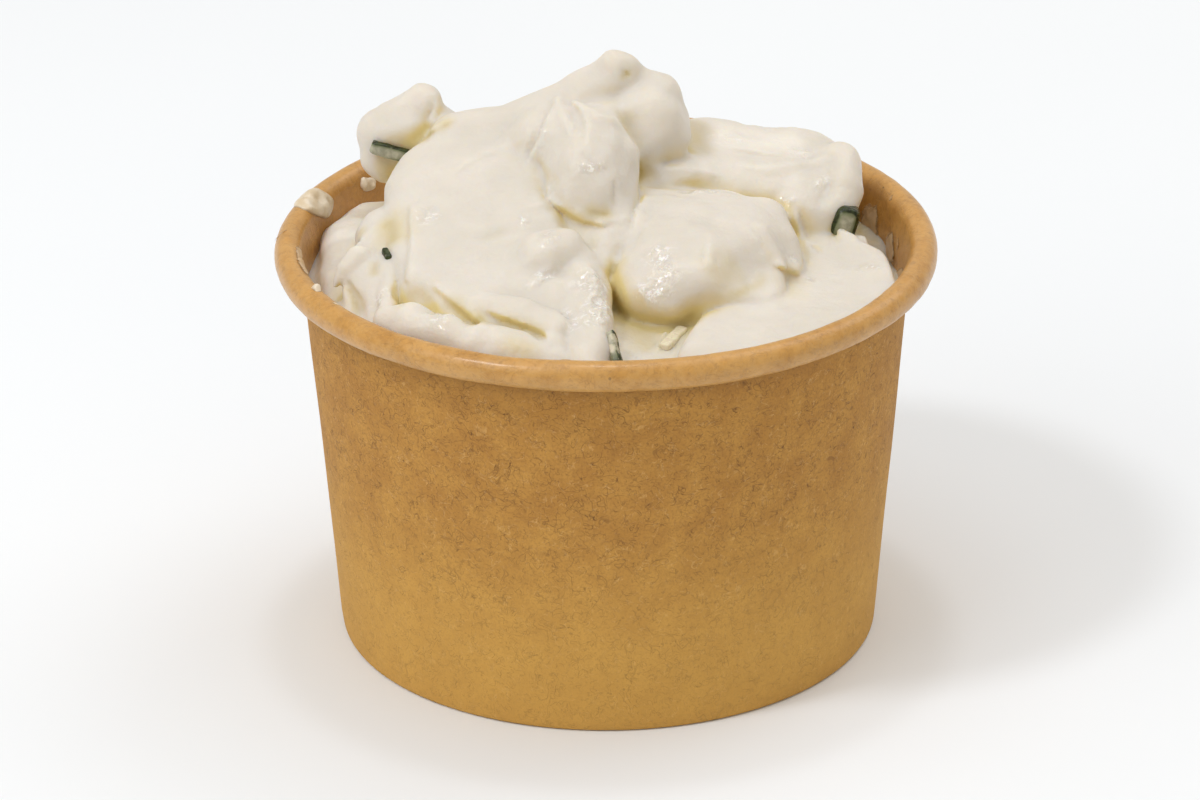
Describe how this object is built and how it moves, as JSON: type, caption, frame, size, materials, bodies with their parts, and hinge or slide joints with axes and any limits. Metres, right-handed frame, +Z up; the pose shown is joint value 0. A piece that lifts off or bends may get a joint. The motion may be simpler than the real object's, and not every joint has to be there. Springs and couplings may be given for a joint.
{
  "type": "tub of tzatziki dip",
  "caption": "Round kraft paper tub with a rolled rim, heaped above the rim with thick white yogurt dip and pieces of cucumber.",
  "frame": {"origin": "centre of the tub's foot, on the surface that it stands on", "axes": "+Z up, out of the tub; the side seen first looks along -Y; +X to that side's right"},
  "size_m": [0.098, 0.098, 0.0851],
  "materials": {
    "kraft_paper": "matte",
    "kraft_base": "matte",
    "yogurt": "satin",
    "cucumber": "satin"
  },
  "bodies": {
    "root": {"paper_wall": "kraft_paper", "paper_base": "kraft_base", "tzatziki": "yogurt", "cucumber_back": "cucumber", "cucumber_right": "cucumber", "cucumber_front": "cucumber", "cucumber_left": "cucumber", "cucumber_shred": "cucumber"}
  },
  "joints": []
}
